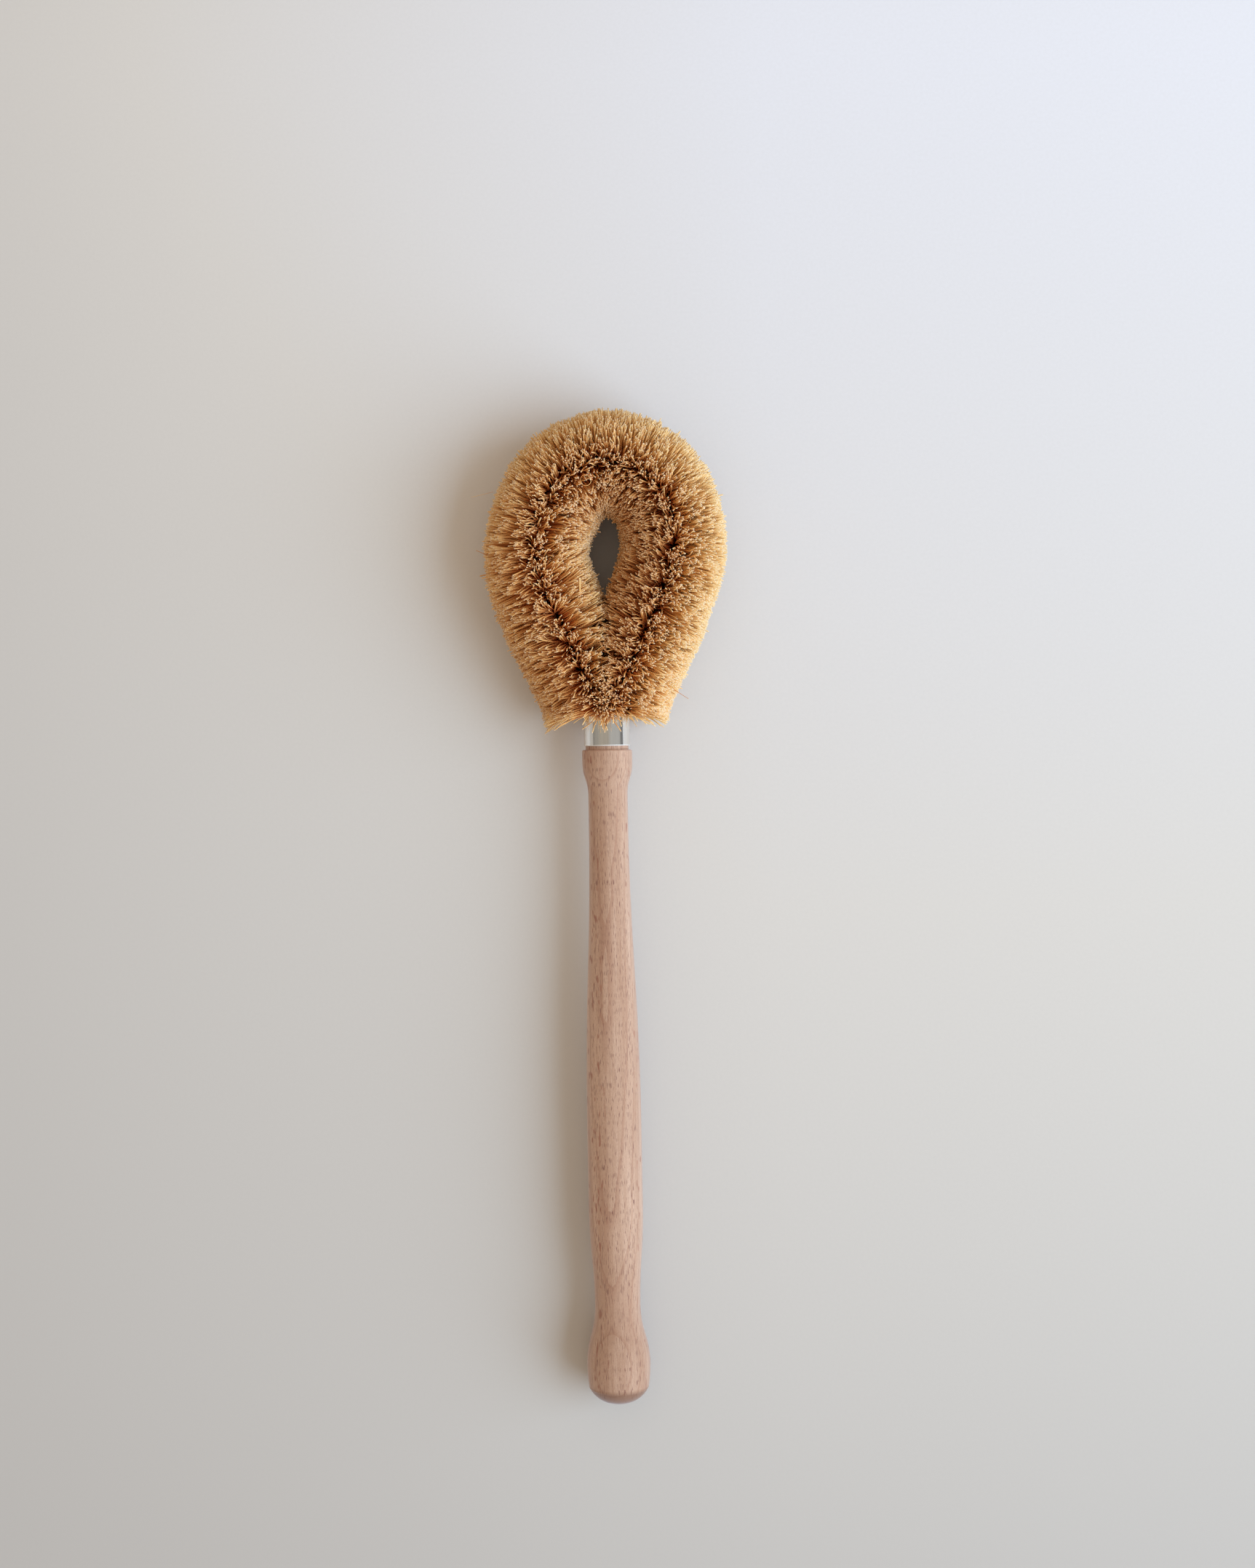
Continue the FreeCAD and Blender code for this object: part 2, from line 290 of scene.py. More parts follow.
mesh = bpy.data.meshes.new("table")
bm = bmesh.new()
bmesh.ops.create_grid(bm, x_segments=1, y_segments=1, size=TABLE_SIZE / 2)
bm.to_mesh(mesh)
bm.free()
table = bpy.data.objects.new("table", mesh)
bpy.context.scene.collection.objects.link(table)

material, tree, shader, place = new_material("painted_table")
parts = add(tree, "ShaderNodeSeparateXYZ", {0: place})
towards_head = maths(tree, "POWER", spread(tree, parts.outputs["Y"], TABLE_FOOT, TABLE_HEAD), TABLE_CURVE)
towards_right = spread(tree, parts.outputs["X"], TABLE_LEFT, TABLE_RIGHT, TABLE_LEFT_SHARE, 1.0)
speckle_inputs = {"Vector": place, "Scale": SPECKLE_SCALE, "Detail": 2.0}
speckle = add(tree, "ShaderNodeTexNoise", speckle_inputs).outputs["Fac"]
# Painted light and shade: paler towards the head and the right, greyer at the foot and on the left.
painted_light_mask = maths(tree, "MULTIPLY", towards_head, towards_right)
ground = ramp(tree, painted_light_mask, [(0.0, TABLE_NEAR), (TABLE_TURN, TABLE_MIDDLE), (1.0, TABLE_FAR)])
ground = mix(tree, spread(tree, speckle, *NOISE_RANGE, 0.0, SPECKLE_SHARE), ground, TABLE_NEAR)
connect(tree, ground, shader.inputs["Base Color"])
shader.inputs["Roughness"].default_value = 0.8
shader.inputs["Specular IOR Level"].default_value = 0.2
mesh.materials.append(material)
print("table:", TABLE_SIZE, "m square")

# %% [markdown]
# ## The line of the wire core
# The fibres stand on the twisted wire, so they need the line that the wire follows. It is a chain of
# straight lines and arcs: up out of the handle, a small bend outwards, a straight leg, the side of the
# loop and its top, and then the mirror image of all that. Stating it as a chain needs only a few sizes,
# and the place at any distance along it follows by adding up chords.

# %% State the sizes of the loop
WIRE_DEPTH = 24 * MM
HANDLE_TOP = 240.82 * MM
FERRULE_TOP = 241.3 * MM
CORE_RADIUS = 1.85 * MM
LEG_OFFSET = 2.5 * MM
LEG_BEND_RADIUS = 20 * MM
LOOP_REACH = 89.3 * MM
LOOP_SIDE_RADIUS = 34 * MM
LOOP_TOP_RADIUS = 24 * MM
LOOP_TOP_TURN = math.radians(62)
TWIST_PITCH = 14 * MM


def half_loop():
    """The stretches of the right half of the line: the length of each and how far it turns right."""
    shrink = LOOP_SIDE_RADIUS - LOOP_TOP_RADIUS
    side_x = -shrink * math.sin(LOOP_TOP_TURN)
    side_y = LOOP_REACH - LOOP_TOP_RADIUS - shrink * math.cos(LOOP_TOP_TURN)
    across = LEG_OFFSET + LEG_BEND_RADIUS - side_x
    apart = math.hypot(across, side_y)
    radii = LEG_BEND_RADIUS + LOOP_SIDE_RADIUS
    slope = math.atan2(side_y, across) - math.acos(radii / apart)
    side_turn = slope + math.pi / 2 - LOOP_TOP_TURN
    return [
        (WIRE_DEPTH, 0),
        (LEG_BEND_RADIUS * slope, slope),
        (math.sqrt(apart ** 2 - radii ** 2), 0),
        (LOOP_SIDE_RADIUS * side_turn, -side_turn),
        (LOOP_TOP_RADIUS * LOOP_TOP_TURN, -LOOP_TOP_TURN),
    ]


stretches = half_loop()
half_length = sum(length for length, turn in stretches)
sides_start = sum(length for length, turn in stretches[:3])
print("length of each wire:", round(2 * half_length / MM, 1), "mm")

# %% [markdown]
# ## Any place along the core
# Each fibre needs the place, the direction and the outward side of the core at its own distance from
# the end of the wire. A curve object could be sampled for that, but the arcs and their chords give it
# exactly, for all fibres at once. The left half is the mirror image of the right one.

# %% Follow the core


def core_line(distance):
    """Places, directions and outward sides of the core at these distances from its right-hand end."""
    mirrored = distance > half_length
    left = np.where(mirrored, 2 * half_length - distance, distance)
    x = np.full(left.shape, LEG_OFFSET)
    y = np.full(left.shape, HANDLE_TOP - WIRE_DEPTH)
    heading = np.zeros(left.shape)
    for length, turn in stretches:
        step = np.clip(left, 0, length)
        turned = turn * step / length
        chord = step if turn == 0 else 2 * length / turn * np.sin(turned / 2)
        x = x + chord * np.sin(heading + turned / 2)
        y = y + chord * np.cos(heading + turned / 2)
        heading = heading + turned
        left = left - length
    flip = np.where(mirrored, -1.0, 1.0)
    level = np.zeros(left.shape)
    places = np.stack([flip * x, y, level], axis=-1)
    directions = np.stack([np.sin(heading), flip * np.cos(heading), level], axis=-1)
    outwards = np.stack([flip * np.cos(heading), -np.sin(heading), level], axis=-1)
    return places, directions, outwards


top_of_core = core_line(np.array([half_length]))[0][0]
print("top of the core:", round(top_of_core[1] / MM, 1), "mm from the butt")

# %% [markdown]
# ## Where each fibre stands
# The wires pinch a flat sheet of fibres and then twist it, so the roots form two ribbons that wind
# about the core, half a turn apart. Every seven millimetres a ribbon faces up, and there the fibres
# part and open a dark star. Hair grown on a tube would stand evenly and miss that, so a fibre's angle
# is the angle of its ribbon plus some scatter. The outside of the loop is longer than its inside, so
# the fibres of its two faces are turned outwards a little to cover it. A fixed seed makes every run
# grow the same brush. Blender's own noise, which leans the fibres below, differs from run to run unless
# it gets a seed too.

# %% Plant the fibres
SEED = 11
FIBRE_COUNT = 38000
RIBBON_SCATTER = math.radians(50)
OUTWARD_SHARE = 0.2
FOOT_GAP = 0.6 * MM

random = np.random.default_rng(SEED)
noise.seed_set(SEED)
foot = WIRE_DEPTH + FERRULE_TOP - HANDLE_TOP + FOOT_GAP
root_distance = np.sort(random.uniform(foot, 2 * half_length - foot, FIBRE_COUNT))
ribbon = random.integers(0, 2, FIBRE_COUNT) * math.pi
root_angle = 2 * math.pi * root_distance / TWIST_PITCH + ribbon
root_angle = root_angle + random.normal(0, RIBBON_SCATTER, FIBRE_COUNT)
root_angle = root_angle - OUTWARD_SHARE * np.sin(root_angle)
facing = np.sin(root_angle) ** 2
places, directions, outwards = core_line(root_distance)
print("fibres planted:", FIBRE_COUNT)

# %% [markdown]
# ## The round section of the brush
# The brush is trimmed round before its core is bent. Bending crowds the fibres on the inside of the
# loop and pushes the whole round section inwards there, so its middle isn't the core. The crowding
# is given at a few distances from the end of the wire. A loop that is bent by hand is never quite
# even: the left shoulder of this one is pressed in more than the right one.

# %% Place the middle of the section
CROWDING_PLACES = (45 * MM, 60 * MM, 73 * MM, 92 * MM, 106 * MM, half_length)
CROWDING = (-0.5 * MM, -1.1 * MM, 0.1 * MM, 0.9 * MM, 1.1 * MM, 2.0 * MM)
PRESSED_IN = 3.0 * MM
PRESSED_PLACE = 104 * MM
PRESSED_REACH = 36 * MM

nearest_end = np.minimum(root_distance, 2 * half_length - root_distance)
from_press = np.clip((nearest_end - PRESSED_PLACE) / PRESSED_REACH, -1, 1)
pressed = np.where(root_distance > half_length, PRESSED_IN * np.cos(from_press * math.pi / 2) ** 2, 0)
crowding = np.interp(nearest_end, CROWDING_PLACES, CROWDING) + pressed
centres = places - outwards * crowding[:, None]
print("crowding:", round(crowding.min() / MM, 1), "to", round(crowding.max() / MM, 1), "mm")

# %% [markdown]
# ## How long each fibre is
# The shears leave nearly all tips at one distance from the middle of the section. Some fibres are
# shorter, and a few stand proud. The cut is cleaner in the plane of the loop than on its two faces.
# Long fibres could be cut by a round shape instead, but a length drawn for each one costs nothing.

# %% Trim the fibres
TRIM_RADIUS = 18.3 * MM
COMBED_TRIM = 0.35 * MM
RUFFLED_TRIM = 0.6 * MM
SHORT_SHARE = 0.2
SHORT_BY = (1.0 * MM, 8.0 * MM)
LONG_SHARE = 0.012
LONG_BY = (0.3 * MM, 1.6 * MM)


def radial(angle):
    """Unit directions across the core: angle 0 is outwards in the plane of the loop, 90 degrees is up."""
    upward = np.zeros(outwards.shape)
    upward[..., 2] = 1
    return outwards * np.cos(angle)[:, None] + upward * np.sin(angle)[:, None]


chance = random.uniform(0, 1, FIBRE_COUNT)
own_trim = COMBED_TRIM + (RUFFLED_TRIM - COMBED_TRIM) * facing
reach = TRIM_RADIUS + random.normal(0, 1, FIBRE_COUNT) * own_trim
short = chance < SHORT_SHARE
reach -= np.where(short, random.uniform(*SHORT_BY, FIBRE_COUNT), 0)
reach += np.where(chance > 1 - LONG_SHARE, random.uniform(*LONG_BY, FIBRE_COUNT), 0)
straight_tips = centres + radial(root_angle) * reach[:, None]
print("short fibres:", short.sum())

# %% [markdown]
# ## How the fibres part and lean
# On the two faces of the loop the fibres part above the wire like hair and fall to both sides, which
# shows their shafts and leaves a dark line. Neighbours also lean the same way. A simulation of hair
# would find such shapes slowly, so two steps give them: the tips turn away from the parting, and a
# smooth noise leans whole patches. Fibres in the plane of the loop stay combed, and those on its two
# faces are ruffled. At the foot the two legs are so close that they push each other's fibres outwards,
# which takes the two partings away from each other.

# %% Part and lean the tips
LOOP_PLACES = (0.10, 0.25, 0.45, 0.58, 0.75, 0.90)
PARTING = tuple(math.radians(angle) for angle in (16, 13, 5, 15, 25, 22))
PATCH_SIZE = 6.0 * MM
PATCH_LEAN = 3.4 * MM
COMBED_PATCH_LEAN = 1.4 * MM
COMBED_LEAN = 0.35 * MM
RUFFLED_LEAN = (1.2 * MM, 1.5 * MM, 1.5 * MM, 1.2 * MM, 0.9 * MM, 0.9 * MM)
FOOT_SPREAD = 4.0 * MM
FOOT_SPREAD_REACH = 20 * MM

along_loop = root_distance / (2 * half_length)
fallen = root_angle - np.interp(along_loop, LOOP_PLACES, PARTING) * np.sin(2 * root_angle)
tips = centres + radial(fallen) * reach[:, None]
lean = np.array([noise.noise_vector(Vector(tip / PATCH_SIZE)) for tip in tips])
own_lean = COMBED_LEAN + (np.interp(along_loop, LOOP_PLACES, RUFFLED_LEAN) - COMBED_LEAN) * facing
patch_lean = COMBED_PATCH_LEAN + (PATCH_LEAN - COMBED_PATCH_LEAN) * facing
tips = tips + lean * patch_lean[:, None] + random.normal(0, 1, tips.shape) * own_lean[:, None]
pushed = FOOT_SPREAD * np.clip(1 - (nearest_end - foot) / FOOT_SPREAD_REACH, 0, 1) * facing
tips = tips + outwards * pushed[:, None]
print("widest push at the foot:", round(pushed.max() / MM, 1), "mm")

# %% [markdown]
# ## How the fibres gather
# Fibres that touch cling together in locks. Some fibres lead one: every tip moves part of the way
# towards the tip of the nearest leader, which a tree of places finds fast. Then each tip goes back to
# its own distance from the middle, so that a lock is no shorter than its fibres.

# %% Gather the tips into locks
FIBRES_PER_LOCK = 12
GATHER = (0.1, 0.55)
COMBED_GATHER = 0.2

leaders = np.arange(random.integers(0, FIBRES_PER_LOCK), FIBRE_COUNT, FIBRES_PER_LOCK)
tree_of_leaders = kdtree.KDTree(len(leaders))
for index, leader in enumerate(leaders):
    tree_of_leaders.insert(tips[leader], index)
tree_of_leaders.balance()
own_lock = np.array([tree_of_leaders.find(tip)[1] for tip in tips])
gather = random.uniform(*GATHER, len(leaders))[own_lock] * (COMBED_GATHER + (1 - COMBED_GATHER) * facing)
tips = tips + (tips[leaders][own_lock] - tips) * gather[:, None]

spokes = tips - centres
tips = centres + spokes * (reach / np.linalg.norm(spokes, axis=1))[:, None]
lock_tone = random.uniform(0, 1, len(leaders))[own_lock]
print("locks:", len(leaders))

# %% [markdown]
# ## Where the two legs meet
# Below the gap of the loop the two legs press together. Fibres that would end deep in the other leg
# are left out there: they are buried and can't be seen. Only in the last stretch above the ferrule
# they fold upwards or downwards instead and fill the space between the legs. A test of every fibre
# against every other one would take long, and the plane between the legs says the same.

# %% Find the buried fibres
CROSSING_ALLOWED = 1.5 * MM
CROSSING_SCATTER = 0.8 * MM
FOLD_REACH = 11 * MM
FOLD_SHARE = 0.6
FOLD_SCATTER = 2.5 * MM
FOLD_LEAN = 2.5 * MM

own_side = np.where(root_distance > half_length, -1.0, 1.0)
crossing_limit = CROSSING_ALLOWED + random.normal(0, CROSSING_SCATTER, FIBRE_COUNT)
too_far = np.maximum(-tips[:, 0] * own_side - crossing_limit, 0)
buried = (too_far > 0) & (nearest_end < sides_start)
fold_chance = FOLD_SHARE * (1 - (nearest_end - foot) / FOLD_REACH)
folded = buried & (random.uniform(0, 1, FIBRE_COUNT) < fold_chance)
kept = folded | ~buried
tips[folded, 0] += (own_side * too_far)[folded]
tips[folded, :2] += random.normal((0, -FOLD_LEAN), FOLD_SCATTER, (folded.sum(), 2))
aside = np.linalg.norm((tips - centres)[folded, :2], axis=1)
height = np.sqrt(np.maximum(reach[folded] ** 2 - aside ** 2, 0))
tips[folded, 2] = np.copysign(height, tips[folded, 2])
print("fibres left out:", FIBRE_COUNT - kept.sum())

# %% [markdown]
# ## The flare over the ferrule
# The last fibres have no neighbours below them, so they spring down past the end of the ferrule. Most
# lean little and a few lean far, and those on the two faces lean less than those at the sides. Turning
# the end of the ribbon down would lean them all alike, so each draws its own lean.

# %% Lean the fibres of the foot
FOOT_STRETCH = 4.5 * MM
FOOT_LEAN = 6.5 * MM
FOOT_LEAN_SHARES = (0.1, 1)
FOOT_RARITY = 2.4
FACE_FOOT_LEAN = 0.7

foot_share = np.clip(1 - (nearest_end - foot) / FOOT_STRETCH, 0, 1)
foot_lean = FOOT_LEAN * foot_share * random.uniform(*FOOT_LEAN_SHARES, FIBRE_COUNT) ** FOOT_RARITY
foot_lean = foot_lean * (1 - (1 - FACE_FOOT_LEAN) * facing)
print("widest lean at the foot:", round(foot_lean.max() / MM, 1), "mm")

# %% [markdown]
# ## The path of each fibre
# A fibre is a thin, three-sided tube with four stretches: enough to bend, and few enough faces for
# tens of thousands of them. Each ring of the tube lies on a path that starts at the wire, runs
# straight at first and bends over to its tip, with a slight bow and a hook at the end. The table
# flattens the tips underneath, so no path goes below its level.

# %% Lay out the paths
RING_PLACES = (0.0, 0.34, 0.62, 0.84, 1.0)
CROWDED_FROM = 0.5
BEND_OVER = 1.5
BOW = 0.35 * MM
COMBED_HOOK = 0.12 * MM
RUFFLED_HOOK = 0.35 * MM
ROOT_SHARE = 0.8
FOOT_LEAN_CURVE = 2.6
TABLE_CLEARANCE = 0.15 * MM
TABLE_SCATTER = 0.5 * MM

bow = random.normal(0, BOW, tips.shape)
hook = random.normal(0, 1, tips.shape) * (COMBED_HOOK + (RUFFLED_HOOK - COMBED_HOOK) * facing)[:, None]
root_reach = CORE_RADIUS * ROOT_SHARE
paths = np.zeros((FIBRE_COUNT, len(RING_PLACES), 3))
for ring, share in enumerate(RING_PLACES):
    middle = places + (centres - places) * min(share / CROWDED_FROM, 1)
    straight = middle + radial(root_angle) * (root_reach + (reach - root_reach) * share)[:, None]
    bent = (tips - straight_tips) * share ** BEND_OVER
    paths[:, ring] = straight + bent + bow * math.sin(math.pi * share)
    paths[:, ring, 1] -= foot_lean * share ** FOOT_LEAN_CURVE
paths[:, -1] += hook
paths = to_world(paths)
lowest = TABLE_CLEARANCE + random.uniform(0, TABLE_SCATTER, FIBRE_COUNT)[:, None]
paths[..., 2] = np.maximum(paths[..., 2], lowest)
print("highest tip:", round(paths[..., 2].max() / MM, 1), "mm")

# %% [markdown]
# ## The fibres as meshes
# `grow_fibres` starts from one small triangle per fibre and extrudes all of them at once, ring by ring,
# so Blender's own operator builds the tubes and closes their ends. Whole-number layers on the vertices
# remember the fibre, the corner and the ring. The first extrusion lists its faces in another order each
# run, so they are sorted by their first edge: no other face runs along it in the same direction.

# %% Grow fibres
SIDES = 3
LAYERS = ("fibre", "corner", "ring")


def grow_fibres(name, paths, widths, tones):
    """One mesh of closed tubes. Paths and widths have one row for each fibre and one column for each ring."""
    bm = bmesh.new()
    layers = [bm.verts.layers.int.new(label) for label in LAYERS]
    fibre_layer, corner_layer, ring_layer = layers
    for fibre in range(len(paths)):
        corners = []
        for corner in range(SIDES):
            turn = 2 * math.pi * corner / SIDES
            vert = bm.verts.new((math.cos(turn), math.sin(turn), 0))
            vert[fibre_layer] = fibre
            vert[corner_layer] = corner
            corners.append(vert)
        bm.faces.new(corners)
    made = bmesh.ops.extrude_face_region(bm, geom=bm.faces[:])["geom"]
    caps = [item for item in made if isinstance(item, bmesh.types.BMFace)]
    for ring in range(1, paths.shape[1]):
        if ring > 1:
            caps = bmesh.ops.extrude_discrete_faces(bm, faces=caps)["faces"]
        for cap in caps:
            for vert in cap.verts:
                vert[ring_layer] = ring
    bm.verts.index_update()
    count = len(bm.verts)
    bm.faces.sort(key=lambda face: face.verts[0].index * count + face.verts[1].index)
    mesh = bpy.data.meshes.new(name)
    bm.to_mesh(mesh)
    bm.free()
    place_fibres(mesh, paths, widths, tones)
    return mesh


# %% [markdown]
# ## Fibres in their places
# `place_fibres` reads the three numbers of every vertex and moves them all to their paths in one go,
# because a loop over so many vertices is slow. Each fibre is turned about its own line by another
# angle, so their flat sides catch the light differently. Each also gets points of its own in the UV map:
# across is its tone, up is the way from root to tip, which is all that its colour depends on.

# %% Place fibres
TURN_PER_FIBRE = 2.4
STEEP = 0.8


def read_layer(mesh, label):
    """The whole numbers that the vertices carry under this label."""
    values = np.zeros(len(mesh.vertices), dtype=np.int32)
    mesh.attributes[label].data.foreach_get("value", values)
    return values


def place_fibres(mesh, paths, widths, tones):
    """Moves every vertex to its path, writes the UV map and clears the layers."""
    fibre, corner, ring = (read_layer(mesh, label) for label in LAYERS)
    ahead = np.gradient(paths, axis=1)
    ahead /= np.linalg.norm(ahead, axis=2, keepdims=True)
    aside = np.cross(ahead, np.where(np.abs(ahead[..., 2:]) > STEEP, [1.0, 0.0, 0.0], [0.0, 0.0, 1.0]))
    aside /= np.linalg.norm(aside, axis=2, keepdims=True)
    over = np.cross(ahead, aside)
    turn = 2 * math.pi * corner / SIDES + fibre * TURN_PER_FIBRE
    around = aside[fibre, ring] * np.cos(turn)[:, None] + over[fibre, ring] * np.sin(turn)[:, None]
    places = paths[fibre, ring] + around * (widths[fibre, ring] / 2)[:, None]
    mesh.vertices.foreach_set("co", places.ravel())

    of_loop = np.zeros(len(mesh.loops), dtype=np.int32)
    mesh.loops.foreach_get("vertex_index", of_loop)
    uv = np.stack([tones[fibre], ring / (paths.shape[1] - 1)], axis=1)[of_loop]
    mesh.uv_layers.new(name="OFBake").data.foreach_set("uv", uv.ravel())
    for label in LAYERS:
        mesh.attributes.remove(mesh.attributes[label])
    mesh.shade_smooth()
    mesh.update()


# %% [markdown]
# ## The colour of coconut fibre
# Brown coir is dark red-brown where it is packed at the core and bleached to gold towards the trimmed
# ends, which are blunt and pale. The roots here are painted a brighter, redder orange than that: painted
# light that stands in for the light that shines through the thin fibres into the deep gaps between them.
# A texture in space would colour neighbours alike and miss that. The colour reads only the fibre's own
# UV: up for the way along it and across for its tone, which makes some fibres straw-coloured and others
# rusty.

# %% Make the coir material
GOLDEN_FROM = 0.45
STRAW_FROM = 0.62

material, tree, shader, place = new_material("coconut_fibre")
uv = add(tree, "ShaderNodeUVMap", uv_map="OFBake").outputs["UV"]
parts = add(tree, "ShaderNodeSeparateXYZ", {0: uv})
tone, way = parts.outputs["X"], parts.outputs["Y"]
# The first stops of the three ramps are painted light: roots brighter than real coir, for light through the
# fibres.
golden = ramp(tree, way, [
    (0.0, screen_colour(226, 124, 66)),
    (0.30, screen_colour(248, 158, 88)),
    (0.62, screen_colour(252, 193, 119)),
    (0.97, screen_colour(246, 198, 134)),
    (1.0, screen_colour(249, 218, 184)),
])
rusty = ramp(tree, way, [
    (0.0, screen_colour(214, 102, 54)),
    (0.30, screen_colour(226, 120, 62)),
    (0.62, screen_colour(216, 140, 78)),
    (0.97, screen_colour(214, 154, 93)),
    (1.0, screen_colour(234, 198, 154)),
])
straw = ramp(tree, way, [
    (0.0, screen_colour(234, 142, 82)),
    (0.45, screen_colour(254, 208, 138)),
    (0.97, screen_colour(246, 208, 148)),
    (1.0, screen_colour(250, 226, 190)),
])
warm = mix(tree, spread(tree, tone, 0.0, GOLDEN_FROM), rusty, golden)
coir_colour = mix(tree, spread(tree, tone, STRAW_FROM, 1.0), warm, straw)
connect(tree, coir_colour, shader.inputs["Base Color"])
shader.inputs["Roughness"].default_value = 0.55
shader.inputs["Specular IOR Level"].default_value = 0.35
coir = material
print("finish:", coir.name)

# %% [markdown]
# ## The width and the tone of each fibre
# Coir comes thick and thin. The tone of a fibre is mostly chance, and a little that of its lock. On
# top of that come painted light and shade: the outer fibres at the top and on the right, which face
# the window, are painted paler towards straw, and the outer ones on the left darker; the inner ones on
# the right and at the top, in the loop's own shade, are painted darker and rustier, and the inner ones
# on the left a little paler. The ones that flare over the ferrule are pale.

# %% Draw widths and tones
ROOT_WIDTH = 0.50 * MM
TIP_WIDTH = 0.47 * MM
THICKNESS = (0.7, 1.3)
LOCK_SHARE = 0.25
# Painted shade on inner fibres and painted light on outer ones, at LOOP_PLACES; a negative value paints the
# other way.
INNER_PAINTED_SHADE = (0.30, 0.85, 0.95, 0.60, -0.25, -0.15)
OUTER_PAINTED_LIGHT = (0.15, 0.75, 0.90, 0.55, -0.15, -0.40)
SHORT_RUST = 0.15
FLARE_LEAN = 2.5 * MM
FLARE_THINNING = 0.1
BLEACHING = (0.7, 1)
TONE_LIMITS = (0.01, 0.99)

flared = np.minimum(foot_lean / FLARE_LEAN, 1)
thickness = random.uniform(*THICKNESS, FIBRE_COUNT) * (1 - FLARE_THINNING * flared)
widths = thickness[:, None] * np.interp(RING_PLACES, (0, 1), (ROOT_WIDTH, TIP_WIDTH))[None, :]
outer = np.cos(root_angle)
# Painted light and shade: outer fibres facing the window get paler tones, inner ones in the loop's shade
# darker.
painted_shade = np.interp(along_loop, LOOP_PLACES, INNER_PAINTED_SHADE) * np.maximum(-outer, 0)
painted_light = np.interp(along_loop, LOOP_PLACES, OUTER_PAINTED_LIGHT) * np.maximum(outer, 0)
tones = LOCK_SHARE * lock_tone + (1 - LOCK_SHARE) * random.uniform(0, 1, FIBRE_COUNT) + painted_light - painted_shade
bleached = flared * random.uniform(*BLEACHING, FIBRE_COUNT)
tones = np.clip(np.maximum(tones - SHORT_RUST * short, bleached), *TONE_LIMITS)
print("widths:", round(widths.min() / MM, 2), "to", round(widths.max() / MM, 2), "mm")

# %% [markdown]
# ## The pieces of the brush
# All fibres in one mesh would be too large a piece, and a mesh for each would be far too many. So the
# kept fibres, in their order along the wire, are parted into six stretches of equal number. Together
# they stand for the soft solid of the CAD model.

# %% Make the pieces
STRETCH_NAMES = ("right_leg", "right_side", "right_top", "left_top", "left_side", "left_leg")

paths, widths, tones = paths[kept], widths[kept], tones[kept]
edges = np.linspace(0, len(paths), len(STRETCH_NAMES) + 1).astype(int)
for label, first, last in zip(STRETCH_NAMES, edges, edges[1:]):
    mesh = grow_fibres("coir_" + label, paths[first:last], widths[first:last], tones[first:last])
    mesh.materials.append(coir)
    piece = bpy.data.objects.new("coir_" + label, mesh)
    bpy.context.scene.collection.objects.link(piece)
    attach(piece, "root")
    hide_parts("coir_bristles")
    print(piece.name, len(mesh.vertices), "vertices")

# %% [markdown]
# ## Loose pieces of husk
# A thin curled fibre lies on the left shoulder of the loop, a broad pale splinter sticks out of the
# left leg, and a few thin ones stand out of the outline. Such strays make the brush look real. Curve
# objects with a bevel would do, but all are grown like the other fibres, so that they take the same
# colours. They have more rings, because a curl needs them. Places are across, along and up from the
# butt, as before.

# %% Grow the loose pieces
LOOSE_RINGS = 24
CURL_CENTRE = np.array((-5.2, 320.2, 17.6)) * MM
CURL_RADIUS = 2.2 * MM
CURL_SHRINK = 0.3
CURL_TURNS = 1.3
CURL_RISE = 0.8 * MM
CURL_WIDTH = 0.22 * MM
CURL_TONE = 0.75
STRAIGHT_FEET = np.array([(-8.3, 280, 9), (-38, 319, -1), (-36, 295, 2), (22, 250, 3)]) * MM
STRAIGHT_TIPS = np.array([(-8.1, 287.3, 15.6), (-45.6, 317, 1), (-44, 298.4, 4), (28.6, 245.6, 4)]) * MM
STRAIGHT_WIDTHS = (0.9 * MM, 0.12 * MM, 0.25 * MM, 0.2 * MM)
STRAIGHT_TONES = (0.99, 0.95, 0.01, 0.01)

share = np.linspace(0, 1, LOOSE_RINGS)
turn = 2 * math.pi * CURL_TURNS * share
radius = CURL_RADIUS * (1 - CURL_SHRINK * share)
curl = CURL_CENTRE + np.stack([radius * np.cos(turn), radius * np.sin(turn), CURL_RISE * share], axis=-1)
straight = STRAIGHT_FEET[:, None] + (STRAIGHT_TIPS - STRAIGHT_FEET)[:, None] * share[:, None]
loose_paths = to_world(np.concatenate([curl[None], straight]))
loose_widths = np.outer((CURL_WIDTH, *STRAIGHT_WIDTHS), np.ones(LOOSE_RINGS))
mesh = grow_fibres("coir_loose", loose_paths, loose_widths, np.array((CURL_TONE, *STRAIGHT_TONES)))
mesh.materials.append(coir)
loose = bpy.data.objects.new("coir_loose", mesh)
bpy.context.scene.collection.objects.link(loose)
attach(loose, "root")
print(loose.name, len(mesh.vertices), "vertices")

# %% [markdown]
# ## Grain
# Wood and drawn metal both show a grain: marks that are much longer along the piece than across it.
# That is a noise whose space is squeezed across and stretched along. Both materials use it several
# times, so it is a node group with the three sizes of a mark as its inputs.

# %% Make the grain group


